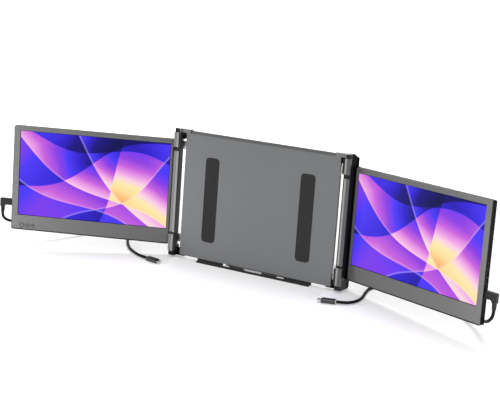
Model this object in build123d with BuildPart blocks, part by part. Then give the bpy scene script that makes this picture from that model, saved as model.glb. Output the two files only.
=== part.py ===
"""Screen extender: a telescopic bracket that clips round a laptop lid, with a hinged screen each side.

Row frame in millimetres: X to the user's right, Y away from the user, Z up, table at Z = 0.
Most pieces are drawn in the leaning frame of the bracket: u to the right, v up the lid, n forward.
The pieces of a screen are drawn in its own frame: s outward from the hinge, v up, a forward.
"""

import os
from math import cos, hypot, pi, radians, sin, tan

from build123d import *

os.makedirs("parts", exist_ok=True)

# Stance
lean = 9.0  # the bracket leans back by this angle
datum_height = 4.0  # height of the lid's lower front edge above the table
lid_width = 312.6
lid_height = 213.0
lid_play = 0.7  # between the lid's side and the arm
slide_in = 8.0  # travel of each arm towards the middle
slide_out = 22.0  # travel of each arm outwards
running_gap = 0.3
fit_gap = 0.05

# Centre housing
slide_end_gap = 1.0  # between the housing and a closed arm
housing_bottom = 3.0
plate_front = -5.5
plate_thickness = 1.6
cover_depth = 3.9
cover_wall = 1.5
housing_corner = 2.0
grip_pad_thickness = 0.8
grip_pad_width = 26.0
grip_pad_reach = 92.0  # from the middle to the centre of a grip pad
grip_pad_margin = 34.0

# Slide tongues
tongue_width = 13.9
tongue_thickness = 2.0
tongue_root_gap = 2.8  # between the stand's recess and a tongue's channel
tongue_end = 14.2  # solid end of a tongue beyond its slot
tongue_side_gap = 0.2
tongue_from_top = 26.45
tongue_from_bottom = 29.05
liner_thickness = 1.0
guide_pin_radius = 1.5
guide_pin_seat = 0.8

# Stand foot and table foot
stand_half_width = 60.0
stand_length = 93.0
stand_thickness = 2.4
stand_neck = 6.0
stand_axis_v = 0.6
stand_axis_n = -7.7
stand_knuckle_radius = 2.3
stand_pin_radius = 1.1
stand_top_below_axis = 0.3
stand_knuckle = (18.0, 38.0)
stand_lug = (38.4, 46.0)
stand_pad_width = 14.0
table_foot_half_width = 110.0
table_foot_front = -1.0
table_foot_bar = 4.2
table_foot_drop = 0.6

# Arms
arm_wall = 1.8
rail_width = 9.7
flange_thickness = 2.0
trim_thickness = 1.0
upper_block_height = 19.9
sleeve_overlap = 9.0  # of the sleeves on the housing's ends
sleeve_wall = 1.5
sleeve_rear_height = 16.3
sleeve_front_leg = 6.8
claw_lip = 2.0
claw_front = 2.2
claw_lip_gap = 0.2
upper_claw_height = 25.0
upper_claw_from_top = 7.3
lower_claw_height = 29.0
lower_claw_from_bottom = 8.0
trim_gap_above = 7.0
trim_gap_below = 4.0
claw_round = 0.7
claw_pad_thickness = 0.6

# Hinges
hinge_reach = 166.7  # hinge axis from the middle
hinge_depth = {"left": -14.4, "right": -24.5}
fold = {"left": 24.2, "right": 20.0}  # how far each screen is folded forward
ear_radius = 4.0
barrel_radius = 4.2
barrel_bore = 3.2
hinge_pin_radius = 2.0
hinge_pin_seat = 12.6
bush_length = 14.0
block_gap = 0.5
block_height = 17.0
block_round = 11.0
block_chamfer = (15.0, 9.0)
arm_corner = 4.5  # rounding of the arm's outer corners

# Screens
screen_bottom = 17.5
display_width = 265.7
display_height = 149.5
inner_bezel = 5.0
outer_bezel = 10.9
top_bezel = 7.9
bottom_bezel = 26.1
screen_inner = 9.0  # hinge axis to the screen's inner edge
screen_front = 8.0  # hinge axis to the screen's front face
screen_thickness = 9.6
screen_corner = 3.0
bezel_thickness = 1.2
cover_floor = 1.4
cover_side = 1.6
panel_border = 1.5
lcd_thickness = 1.2
backlight_thickness = 2.4
board_thickness = 1.2
board_length = 90.0
leaf_thickness = 1.6
leaf_reach = 24.0
leaf_span = (40.0, 178.0)
leaf_screw_from_end = 7.0

# Keys on the left screen
key_radius = {"power": 4.2, "up": 3.0, "down": 3.0}
key_from_edge = {"power": 19.3, "up": 29.5, "down": 38.9}
key_height = 8.5
key_proud = 0.3
key_travel = 0.6
key_gap = 0.6
key_flange = 1.3
key_flange_thickness = 1.1

# Ports and cables
port_height = 47.0  # first port above the screen's lower edge
port_pitch = 20.0
port_opening = 3.2
port_wall = 0.3
port_depth = 6.7
port_widths = (8.9, 8.9, 11.2)
plug_tip = (8.1, 2.4, 6.7)
angled_plug = (21.7, 11.6, 5.8)
angled_leg = 8.4
angled_drop = 13.2
angled_round = 1.5
relief_length = 9.8
relief_radius = 3.6
cable_radius = 2.45
straight_plug = (25.0, 10.6, 6.8)
straight_plug_round = 2.2
plug_collar = 2.0
collar_radius = 3.1

# Fasteners
screw_head_radius = 1.8
screw_head_depth = 0.7
screw_shank_radius = 1.0
arm_screw_depths = (-5.0, -9.2)

sides = {"left": -1, "right": 1}

# Frame of the bracket. Its origin is set so that the table foot's front bar stands over the row origin.
lean_cos = cos(radians(lean))
lean_sin = sin(radians(lean))


def table_v(n):
    """Height v at which the table lies, at depth n."""
    return (-datum_height - n * lean_sin) / lean_cos


foot_bar_middle = table_foot_front - table_foot_bar / 2
setback = table_v(foot_bar_middle) * lean_sin - foot_bar_middle * lean_cos
bracket = Plane(
    origin=(0, -setback, datum_height),
    x_dir=(1, 0, 0),
    z_dir=(0, -lean_cos, lean_sin),
)
# Side view of the bracket: sketch x is n, sketch y is v.
side_view = Plane(origin=bracket.origin, x_dir=bracket.z_dir, z_dir=-bracket.x_dir)


def plan_view(v):
    """Plane across the bracket at height v: sketch x is u, sketch y is the depth behind the lid's face."""
    return Plane(origin=bracket.from_local_coords((0, v, 0)), x_dir=bracket.x_dir, z_dir=bracket.y_dir)


def screen_frame(side):
    """Frame of one screen, on its hinge axis and turned forward by its fold."""
    sign = sides[side]
    turn = radians(fold[side])
    across = bracket.x_dir * cos(turn) + bracket.z_dir * (sign * sin(turn))
    forward = bracket.z_dir * cos(turn) - bracket.x_dir * (sign * sin(turn))
    origin = bracket.from_local_coords((sign * hinge_reach, 0, hinge_depth[side]))
    return Plane(origin=origin, x_dir=across, z_dir=forward)


screens = {side: screen_frame(side) for side in sides}


def block(sign, across, up, deep, mode=Mode.ADD):
    """Box between pairs of limits; across counts outward from the middle on the side given by sign."""
    middle = (sign * sum(across) / 2, sum(up) / 2, sum(deep) / 2)
    with Locations(middle):
        Box(abs(across[1] - across[0]), abs(up[1] - up[0]), abs(deep[1] - deep[0]), mode=mode)


def corner_piece(sign, reach, rise, deep):
    """What the rounding takes off an outer corner; rise runs from the corner to the middle of its arc."""
    with BuildPart(bracket) as piece:
        block(sign, (reach - arm_corner, reach + arm_corner), rise, deep)
        post((sign * (reach - arm_corner), rise[1]), arm_corner, (deep[0] - 1, deep[1] + 1), Mode.SUBTRACT)
    return piece.part


def post(place, radius, deep, mode=Mode.ADD):
    """Round post along the depth axis at (across, up)."""
    with Locations((place[0], place[1], sum(deep) / 2)):
        Cylinder(radius, abs(deep[1] - deep[0]), mode=mode)


def upright(place, radius, up, mode=Mode.ADD):
    """Round bar along the height axis at (across, depth)."""
    with Locations((place[0], sum(up) / 2, place[1])):
        Cylinder(radius, abs(up[1] - up[0]), rotation=(90, 0, 0), mode=mode)


def crossbar(place, radius, across, mode=Mode.ADD):
    """Round bar along the width axis at (up, depth)."""
    with Locations((sum(across) / 2, place[0], place[1])):
        Cylinder(radius, abs(across[1] - across[0]), rotation=(0, 90, 0), mode=mode)


def rounded_slab(plane, sign, across, up, deep, radius, mode=Mode.ADD):
    """Flat slab with rounded corners between pairs of limits."""
    with BuildSketch(plane.offset(deep[0])) as outline:
        with Locations((sign * sum(across) / 2, sum(up) / 2)):
            RectangleRounded(abs(across[1] - across[0]), abs(up[1] - up[0]), radius)
    extrude(outline.sketch, amount=deep[1] - deep[0], mode=mode)


# Places that several pieces share
wall_inner = lid_width / 2 + lid_play
wall_outer = wall_inner + arm_wall
rail_outer = wall_outer + rail_width
screen_top = screen_bottom + bottom_bezel + display_height + top_bezel
upper_block_bottom = screen_top + block_gap
lower_block_top = screen_bottom - block_gap
arm_top = upper_block_bottom + upper_block_height
housing_half_width = wall_inner - slide_in - slide_end_gap
housing_top = arm_top - sleeve_wall - running_gap
sleeve_reach = housing_half_width - sleeve_overlap
tongue_heights = {"upper": housing_top - tongue_from_top, "lower": housing_bottom + tongue_from_bottom}
upper_claw_top = arm_top - upper_claw_from_top
upper_claw = (upper_claw_top - upper_claw_height, upper_claw_top)
lower_claw = (lower_claw_from_bottom, lower_claw_from_bottom + lower_claw_height)
trim_span = (lower_claw[1] + trim_gap_below, upper_claw[0] - trim_gap_above)
slot_half = guide_pin_radius + running_gap
plate_back = plate_front - plate_thickness
cover_back = plate_back - cover_depth
cavity_back = cover_back + cover_wall
housing_span = (-housing_half_width, housing_half_width)
housing_height = (housing_bottom, housing_top)
tongue_back = plate_back - tongue_side_gap - tongue_thickness
tongue_front = plate_back - tongue_side_gap
channel_below = tongue_width / 2 + liner_thickness + 0.1
channel_above = tongue_width / 2 + running_gap
recess_side = stand_half_width + running_gap * 3
channel_inner_end = recess_side + tongue_root_gap
tongue_inner_end = channel_inner_end + slide_in + running_gap
guide_pin_reach = tongue_inner_end + tongue_end + slot_half + slide_out
recess_top = stand_axis_v + stand_neck + stand_length + running_gap * 3
recess_front = stand_axis_n - stand_top_below_axis + running_gap
notch_top = stand_axis_v + stand_knuckle_radius + running_gap * 2
notch_side = stand_lug[1] + running_gap * 4
rib = 4.0
middle_rib = recess_top + rib
screw_spots = [
    (housing_half_width - 2 * rib, middle_rib),
    (channel_inner_end / 2, tongue_heights["upper"]),
    ((recess_side + housing_half_width) / 2, tongue_heights["lower"] - channel_below - rib / 2 - 1.5),
]
screw_places = [(sign * across, height) for across, height in screw_spots for sign in sides.values()]

flange_front = -trim_thickness
flange_back = flange_front - flange_thickness

screen_outer = screen_inner + inner_bezel + display_width + outer_bezel
screen_span = (screen_inner, screen_outer)
screen_height = (screen_bottom, screen_top)
display_span = (screen_inner + inner_bezel, screen_outer - outer_bezel)
display_rise = (screen_bottom + bottom_bezel, screen_top - top_bezel)
bezel_back = screen_front - bezel_thickness
screen_back = screen_front - screen_thickness
floor_top = screen_back + cover_floor
lcd_back = bezel_back - lcd_thickness
backlight_back = lcd_back - backlight_thickness
board_top = floor_top + board_thickness
panel_span = (display_span[0] - panel_border, display_span[1] + panel_border)
panel_rise = (display_rise[0] - panel_border, display_rise[1] + panel_border)
leaf_top = floor_top + leaf_thickness
key_v = screen_bottom + key_height
port_v = [screen_bottom + port_height + i * port_pitch for i in range(len(port_widths))]
port_low = board_top
port_middle = port_low + port_opening / 2
boss_inset = 11.0
boss_low = 7.5
boss_high = top_bezel / 2
boss_radius = 2.3
corner_bosses = [
    (screen_inner + boss_inset, screen_bottom + boss_low),
    (screen_outer - boss_inset, screen_bottom + boss_low),
    (screen_inner + boss_inset, screen_top - boss_high),
    (screen_outer - boss_inset, screen_top - boss_high),
]
leaf_length = leaf_span[1] - leaf_span[0]
leaf_screw_s = leaf_reach - leaf_screw_from_end
leaf_screws = [(leaf_screw_s, leaf_span[0] + leaf_length * share) for share in (0.15, 0.4, 0.6, 0.85)]
turning_room = hypot(screen_inner, screen_front) + running_gap  # room for the inner edge of a turning screen
side_wall_back = {side: depth + turning_room for side, depth in hinge_depth.items()}
screw_reach = 0.1  # the screws stop this far short of the leaf's face

# Centre front plate: the metal sheet that the lid leans on, notched below for the stand's hinge
with BuildPart(bracket) as front_plate:
    rounded_slab(bracket, 1, housing_span, housing_height, (plate_back, plate_front), housing_corner)
    notch_rise = (housing_bottom - 1, notch_top)
    block(1, (-notch_side, notch_side), notch_rise, (plate_back, plate_front), Mode.SUBTRACT)
    for sign in sides.values():
        for height in tongue_heights.values():
            place = (sign * guide_pin_reach, height)
            post(place, guide_pin_radius + fit_gap, (plate_back, plate_back + guide_pin_seat), Mode.SUBTRACT)
    for place in screw_places:
        post(place, screw_shank_radius + fit_gap, (plate_back, plate_back + guide_pin_seat), Mode.SUBTRACT)
front_plate.part.label = "centre_front_plate"
export_step(front_plate.part, "parts/centre_front_plate.step")

# Centre rear cover: a ribbed tray with four tongue channels and the stand's recess and hinge lugs
with BuildPart(bracket) as rear_cover:
    rounded_slab(bracket, 1, housing_span, housing_height, (cover_back, plate_back), housing_corner)
    for sign in sides.values():
        for height in tongue_heights.values():
            channel_rise = (height - channel_below, height + channel_above)
            channel = (channel_inner_end, housing_half_width + 1)
            block(sign, channel, channel_rise, (cavity_back, plate_back), Mode.SUBTRACT)
            place = (sign * guide_pin_reach, height)
            post(place, guide_pin_radius + fit_gap, (cavity_back - guide_pin_seat, plate_back), Mode.SUBTRACT)
        low, high = tongue_heights["lower"], tongue_heights["upper"]
        side_pocket = (recess_side + rib, housing_half_width - rib)
        wide_pocket = (rib / 2, housing_half_width - rib)
        low_pocket = (low + channel_above + rib, middle_rib - rib)
        high_pocket = (middle_rib + rib, high - channel_below - rib)
        block(sign, side_pocket, low_pocket, (cavity_back, plate_back), Mode.SUBTRACT)
        block(sign, wide_pocket, high_pocket, (cavity_back, plate_back), Mode.SUBTRACT)
        top_pocket = (high + channel_above + rib, housing_top - rib)
        block(sign, wide_pocket, top_pocket, (cavity_back, plate_back), Mode.SUBTRACT)
    recess = (-recess_side, recess_side)
    block(1, recess, (housing_bottom - 1, recess_top), (cover_back - 1, recess_front), Mode.SUBTRACT)
    block(1, (-notch_side, notch_side), notch_rise, (cover_back, plate_back), Mode.SUBTRACT)
    for sign in sides.values():
        lug_rise = (stand_axis_v, notch_top + 1.5)
        lug_depth = (stand_axis_n - stand_knuckle_radius, stand_axis_n + stand_knuckle_radius)
        block(sign, stand_lug, lug_rise, (recess_front, plate_back), Mode.ADD)
        lug = (sign * stand_lug[0], sign * stand_lug[1])
        crossbar((stand_axis_v, stand_axis_n), stand_knuckle_radius, lug)
        crossbar((stand_axis_v, stand_axis_n), stand_pin_radius + fit_gap, lug, Mode.SUBTRACT)
    for place in screw_places:
        post(place, screw_head_radius + fit_gap, (cover_back, cover_back + screw_head_depth), Mode.SUBTRACT)
        post(place, screw_shank_radius + fit_gap, (cover_back, plate_back), Mode.SUBTRACT)
rear_cover.part.label = "centre_rear_cover"
export_step(rear_cover.part, "parts/centre_rear_cover.step")

# Lid grip pads: two strips of soft rubber glued to the plate
with BuildPart(bracket) as grip_pads:
    for sign in sides.values():
        pad = (grip_pad_reach - grip_pad_width / 2, grip_pad_reach + grip_pad_width / 2)
        rise = (grip_pad_margin, lid_height - grip_pad_margin)
        pad_depth = (plate_front, plate_front + grip_pad_thickness)
        rounded_slab(bracket, sign, pad, rise, pad_depth, grip_pad_width / 4)
grip_pads.part.label = "lid_grip_pads"
export_step(grip_pads.part, "parts/lid_grip_pads.step")

# Table foot: a rubber bar under the housing, cut level with the table
with BuildPart() as table_foot:
    with BuildSketch(side_view) as full_section:
        with BuildLine():
            Polyline(
                (cover_back, housing_bottom),
                (plate_front, housing_bottom),
                (plate_front, -table_foot_drop),
                (table_foot_front, -table_foot_drop),
                (table_foot_front, table_v(table_foot_front)),
                (cover_back, table_v(cover_back)),
                close=True,
            )
        make_face()
    extrude(full_section.sketch, amount=table_foot_half_width, both=True)
    bar_back = table_foot_front - table_foot_bar
    with BuildSketch(side_view) as knuckle_room:
        with BuildLine():
            Polyline(
                (bar_back, housing_bottom + 1),
                (bar_back, table_v(bar_back) - 1),
                (cover_back - 1, table_v(cover_back) - 1),
                (cover_back - 1, housing_bottom + 1),
                close=True,
            )
        make_face()
    extrude(knuckle_room.sketch, amount=recess_side + running_gap, both=True, mode=Mode.SUBTRACT)
table_foot.part.label = "table_foot"
export_step(table_foot.part, "parts/table_foot.step")

# Guide pins: steel pins that run in the tongues' slots and stop the arms
with BuildPart(bracket) as guide_pins:
    for sign in sides.values():
        for height in tongue_heights.values():
            pin_ends = (cavity_back - guide_pin_seat, plate_back + guide_pin_seat)
            post((sign * guide_pin_reach, height), guide_pin_radius, pin_ends)
guide_pins.part.label = "guide_pins"
export_step(guide_pins.part, "parts/guide_pins.step")

# Slide liners: acetal strips that carry and brake the tongues
with BuildPart(bracket) as slide_liners:
    for sign in sides.values():
        for height in tongue_heights.values():
            bottom = height - channel_below
            liner = (channel_inner_end, housing_half_width)
            block(sign, liner, (bottom, bottom + liner_thickness), (tongue_back, tongue_front))
slide_liners.part.label = "slide_liners"
export_step(slide_liners.part, "parts/slide_liners.step")

# Cover screws: pan heads sunk in the rear cover
with BuildPart(bracket) as cover_screws:
    for place in screw_places:
        post(place, screw_head_radius, (cover_back, cover_back + screw_head_depth))
        post(place, screw_shank_radius, (cover_back, plate_back + guide_pin_seat))
cover_screws.part.label = "cover_screws"
export_step(cover_screws.part, "parts/cover_screws.step")

# Stand hinge pin: one steel rod through the lugs and the foot's knuckles
with BuildPart(bracket) as stand_pin:
    crossbar((stand_axis_v, stand_axis_n), stand_pin_radius, (-stand_lug[1], stand_lug[1]))
stand_pin.part.label = "stand_hinge_pin"
export_step(stand_pin.part, "parts/stand_hinge_pin.step")

# Stand foot: a steel plate with two knuckles, swung out to lie level on the table
stand_origin = bracket.from_local_coords((0, stand_axis_v, stand_axis_n))
stand = Plane(origin=stand_origin, x_dir=(1, 0, 0), z_dir=(0, 0, 1))
stand_top = -stand_top_below_axis
stand_under = stand_top - stand_thickness
stand_reach = (stand_neck, stand_neck + stand_length)
with BuildPart(stand) as stand_foot:
    plate_side = (-stand_half_width, stand_half_width)
    rounded_slab(stand, 1, plate_side, stand_reach, (stand_under, stand_top), 6.0)
    for sign in sides.values():
        neck_drop = (max(stand_under, -stand_knuckle_radius), stand_top)
        block(sign, stand_knuckle, (0, stand_neck + 7.0), neck_drop)
        knuckle = (sign * stand_knuckle[0], sign * stand_knuckle[1])
        crossbar((0, 0), stand_knuckle_radius, knuckle)
        crossbar((0, 0), stand_pin_radius + fit_gap, knuckle, Mode.SUBTRACT)
stand_foot.part.label = "stand_foot"
export_step(stand_foot.part, "parts/stand_foot.step")

# Stand foot pads: rubber strips between the plate and the table
with BuildPart(stand) as stand_pads:
    for reach in (stand_reach[0] + 12.0, stand_reach[1] - 12.0):
        pad_side = (-stand_half_width + 10.0, stand_half_width - 10.0)
        pad_run = (reach - stand_pad_width / 2, reach + stand_pad_width / 2)
        rounded_slab(stand, 1, pad_side, pad_run, (-stand_origin.Z, stand_under), 4.0)
stand_pads.part.label = "stand_foot_pads"
export_step(stand_pads.part, "parts/stand_foot_pads.step")

for side, sign in sides.items():
    top_corner = (arm_top, arm_top - arm_corner)
    bottom_corner = (0, arm_corner)
    flange_depth = (flange_back, flange_front)
    flange_rises = (top_corner, bottom_corner)
    flange_corners = [corner_piece(sign, rail_outer, rise, flange_depth) for rise in flange_rises]

    # Arm frame: side wall, front flange and the sleeves that run over the housing's ends
    with BuildPart(bracket) as arm_frame:
        block(sign, (wall_inner, wall_outer), (0, arm_top), (cover_back, flange_front))
        block(sign, (wall_outer, rail_outer), (0, arm_top), (flange_back, flange_front))
        if side_wall_back[side] < flange_back:
            side_wall = (rail_outer - arm_wall, rail_outer)
            side_wall_rise = (lower_block_top + fit_gap, upper_block_bottom - fit_gap)
            block(sign, side_wall, side_wall_rise, (side_wall_back[side], flange_back))
        sleeve = (sleeve_reach, wall_outer)
        sleeve_back = cover_back - running_gap - sleeve_wall
        sleeve_inside = cover_back - running_gap
        top_inside = housing_top + running_gap
        front_leg = plate_front + running_gap
        leg_front = front_leg + sleeve_wall
        rear_leg_top = (top_inside - sleeve_rear_height, arm_top)
        block(sign, sleeve, (top_inside, arm_top), (sleeve_back, leg_front))
        block(sign, sleeve, rear_leg_top, (sleeve_back, sleeve_inside))
        block(sign, sleeve, (arm_top - sleeve_front_leg, arm_top), (front_leg, leg_front))
        bottom_inside = housing_bottom - running_gap
        sleeve_bottom = bottom_inside - sleeve_wall
        block(sign, sleeve, (sleeve_bottom, bottom_inside), (sleeve_back, plate_front))
        block(sign, sleeve, (sleeve_bottom, lower_block_top - 3.0), (sleeve_back, sleeve_inside))
        for end in (upper_block_bottom + 9.0, lower_block_top - 6.0):
            for screw_n in arm_screw_depths:
                head = (sign * wall_inner, sign * (wall_inner + screw_head_depth))
                shank = (sign * wall_inner, sign * wall_outer)
                crossbar((end, screw_n), screw_head_radius + fit_gap, head, Mode.SUBTRACT)
                crossbar((end, screw_n), screw_shank_radius + fit_gap, shank, Mode.SUBTRACT)
        for corner in flange_corners:
            add(corner, mode=Mode.SUBTRACT)
    arm_frame.part.label = f"{side}_arm_frame"
    export_step(arm_frame.part, f"parts/{side}_arm_frame.step")

    # Slide tongues: slotted steel strips fixed to the arm's wall
    with BuildPart(bracket) as tongues:
        for height in tongue_heights.values():
            rise = (height - tongue_width / 2, height + tongue_width / 2)
            block(sign, (tongue_inner_end, wall_inner), rise, (tongue_back, tongue_front))
            slot = (guide_pin_reach - slide_out - slot_half, guide_pin_reach + slide_in + slot_half)
            slot_rise = (height - slot_half, height + slot_half)
            block(sign, slot, slot_rise, (tongue_back, tongue_front), Mode.SUBTRACT)
    tongues.part.label = f"{side}_slide_tongues"
    export_step(tongues.part, f"parts/{side}_slide_tongues.step")

    # Rail trim: the pale strip between the claws
    with BuildPart(bracket) as rail_trim:
        block(sign, (wall_inner + claw_lip, rail_outer), trim_span, (flange_front, 0))
        front_edges = rail_trim.faces().sort_by(Axis(bracket.origin, bracket.z_dir))[-1].edges()
        fillet(front_edges, trim_thickness / 2)
    rail_trim.part.label = f"{side}_rail_trim"
    export_step(rail_trim.part, f"parts/{side}_rail_trim.step")

    # Claws: pale caps on the rail's ends
    for claw_name, claw_rise in (("upper", upper_claw), ("lower", lower_claw)):
        with BuildPart(bracket) as claw:
            block(sign, (wall_inner + claw_lip, rail_outer), claw_rise, (flange_front, claw_front))
            face = claw.faces().sort_by(Axis(bracket.origin, bracket.z_dir))[-1]
            fillet(face.edges(), claw_round)
        claw.part.label = f"{side}_{claw_name}_claw"
        export_step(claw.part, f"parts/{side}_{claw_name}_claw.step")

    # Claw pads: rubber on the wall where the lid's edge bears, with a lip that reaches over the lid
    with BuildPart(bracket) as claw_pads:
        for claw_rise in (upper_claw, lower_claw):
            pad_rise = (claw_rise[0] + 1.0, claw_rise[1] - 1.0)
            pad_depth = (plate_front + grip_pad_thickness, flange_front - 0.2)
            block(sign, (wall_inner - claw_pad_thickness, wall_inner), pad_rise, pad_depth)
            lip = (wall_inner - claw_lip, wall_inner + claw_lip)
            block(sign, lip, pad_rise, (claw_lip_gap, claw_front - claw_round))
            block(sign, (wall_inner, wall_inner + claw_lip), pad_rise, (flange_front, claw_lip_gap))
    claw_pads.part.label = f"{side}_claw_pads"
    export_step(claw_pads.part, f"parts/{side}_claw_pads.step")

    # Hinge blocks: die-cast ends of the rail that hold the hinge pins
    depth = -hinge_depth[side]
    block_back = hinge_depth[side] - ear_radius
    chamfer_run, chamfer_drop = block_chamfer
    upper_side = [
        (flange_back, upper_block_bottom),
        (flange_back, arm_top),
        (block_back + chamfer_run, arm_top),
        (block_back, arm_top - chamfer_drop),
        (block_back, upper_block_bottom),
    ]
    block_ends = {"upper": (upper_block_bottom, arm_top), "lower": (0, lower_block_top)}
    for end_name, end_rise in block_ends.items():
        corner_rise = top_corner if end_name == "upper" else bottom_corner
        block_corner = corner_piece(sign, hinge_reach + ear_radius, corner_rise, (block_back, flange_back))
        with BuildPart() as hinge_block:
            with BuildSketch(plan_view(end_rise[0])) as plan:
                with Locations((sign * (wall_outer + rail_outer) / 2, (depth - flange_back) / 2)):
                    Rectangle(rail_outer - wall_outer, depth + flange_back)
                with Locations((sign * (wall_outer + hinge_reach) / 2, depth + ear_radius / 2)):
                    Rectangle(hinge_reach - wall_outer, ear_radius)
                with Locations((sign * hinge_reach, depth)):
                    Circle(ear_radius)
            extrude(plan.sketch, amount=end_rise[1] - end_rise[0])
            with BuildSketch(side_view) as profile:
                if end_name == "upper":
                    with BuildLine():
                        Polyline(*upper_side, close=True)
                    make_face()
                else:
                    with BuildLine():
                        Line((flange_back, lower_block_top), (flange_back, 0))
                        Line((flange_back, 0), (block_back + block_round, 0))
                        RadiusArc((block_back + block_round, 0), (block_back, block_round), block_round)
                        Line((block_back, block_round), (block_back, lower_block_top))
                        Line((block_back, lower_block_top), (flange_back, lower_block_top))
                    make_face()
            extrude(profile.sketch, amount=hinge_reach + ear_radius * 2, both=True, mode=Mode.INTERSECT)
            add(block_corner, mode=Mode.SUBTRACT)
            with BuildSketch(plan_view(end_rise[0])) as pin_bore:
                with Locations((sign * hinge_reach, depth)):
                    Circle(hinge_pin_radius + fit_gap)
            bore_depth = hinge_pin_seat + running_gap
            bore_start = 0 if end_name == "upper" else lower_block_top - bore_depth
            bore = pin_bore.sketch.moved(Location(bracket.y_dir * bore_start))
            extrude(bore, amount=bore_depth, mode=Mode.SUBTRACT)
            screw_v = upper_block_bottom + 9.0 if end_name == "upper" else lower_block_top - 6.0
            for screw_n in arm_screw_depths:
                with BuildSketch(Plane(bracket.from_local_coords((sign * wall_outer, screw_v, screw_n)),
                                       x_dir=bracket.y_dir, z_dir=bracket.x_dir * sign)) as screw_bore:
                    Circle(screw_shank_radius + fit_gap)
                extrude(screw_bore.sketch, amount=4.0 + fit_gap, mode=Mode.SUBTRACT)
        hinge_block.part.label = f"{side}_{end_name}_hinge_block"
        export_step(hinge_block.part, f"parts/{side}_{end_name}_hinge_block.step")

    # Hinge pins: steel pins fixed in the blocks
    with BuildPart(bracket) as hinge_pins:
        pin_place = (sign * hinge_reach, hinge_depth[side])
        pin_tail = bush_length - 2.0
        upright(pin_place, hinge_pin_radius, (screen_top - pin_tail, upper_block_bottom + hinge_pin_seat))
        upright(pin_place, hinge_pin_radius, (lower_block_top - hinge_pin_seat, screen_bottom + pin_tail))
    hinge_pins.part.label = f"{side}_hinge_pins"
    export_step(hinge_pins.part, f"parts/{side}_hinge_pins.step")

    # Arm screws: hold the hinge blocks to the wall
    with BuildPart(bracket) as arm_screws:
        for end in (upper_block_bottom + 9.0, lower_block_top - 6.0):
            for screw_n in arm_screw_depths:
                head = (sign * wall_inner, sign * (wall_inner + screw_head_depth))
                shank = (sign * wall_inner, sign * (wall_outer + 4.0))
                crossbar((end, screw_n), screw_head_radius, head)
                crossbar((end, screw_n), screw_shank_radius, shank)
    arm_screws.part.label = f"{side}_arm_screws"
    export_step(arm_screws.part, f"parts/{side}_arm_screws.step")

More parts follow.
